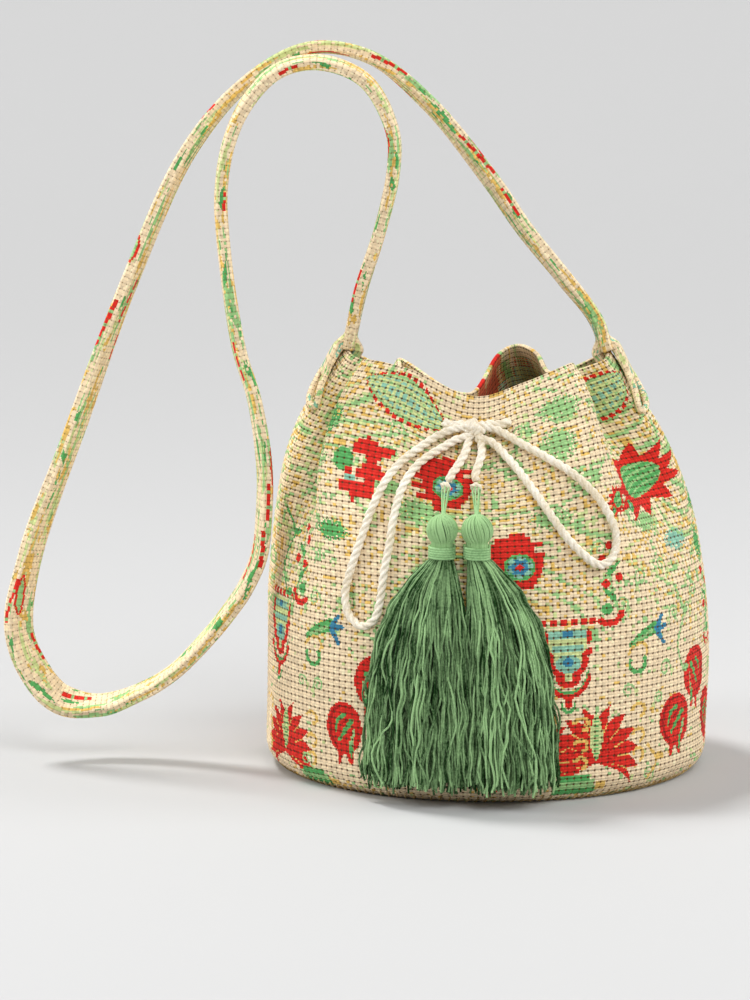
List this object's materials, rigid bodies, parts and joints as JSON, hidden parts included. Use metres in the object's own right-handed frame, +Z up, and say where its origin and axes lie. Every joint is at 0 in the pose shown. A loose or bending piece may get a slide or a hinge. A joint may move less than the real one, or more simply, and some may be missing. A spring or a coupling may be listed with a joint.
{
  "type": "drawstring bucket bag with shoulder strap and tassels",
  "caption": "Soft barrel-shaped bag of patterned basket-woven fabric, gathered at the neck by a rope drawstring tied in a bow, with a long shoulder strap and hanging tassels.",
  "frame": {"origin": "the middle of the underside of the base, on the surface that the bag stands on", "axes": "+Z up, -Y towards the front with the bow and tassels, +X to the right seen from the front; the strap's loop hangs out on the -X side"},
  "size_m": [0.3507, 0.236, 0.3576],
  "materials": {
    "bag_weave": "thick basket weave with a multicoloured woven pattern",
    "base_weave": "plain thick basket weave",
    "strap_weave": "fine speckled woven band",
    "rope": "three-strand twisted cotton rope",
    "tassel_thread": "wound embroidery thread",
    "tassel_yarn": "loose soft yarn strands"
  },
  "bodies": {
    "root": {"bag_wall": "bag_weave", "base_panel": "base_weave", "strap": "strap_weave", "neck_cord": "rope", "bow_knot": "rope", "bow_loop_left": "rope", "bow_loop_right": "rope", "cord_tail_left": "rope", "cord_tail_right": "rope", "cord_end_knot_left": "rope", "cord_end_knot_right": "rope", "tassel_loop_left": "tassel_thread", "tassel_loop_right": "tassel_thread", "tassel_binding_left": "tassel_thread", "tassel_binding_right": "tassel_thread", "tassel_left": "tassel_yarn", "tassel_right": "tassel_yarn"}
  },
  "joints": []
}
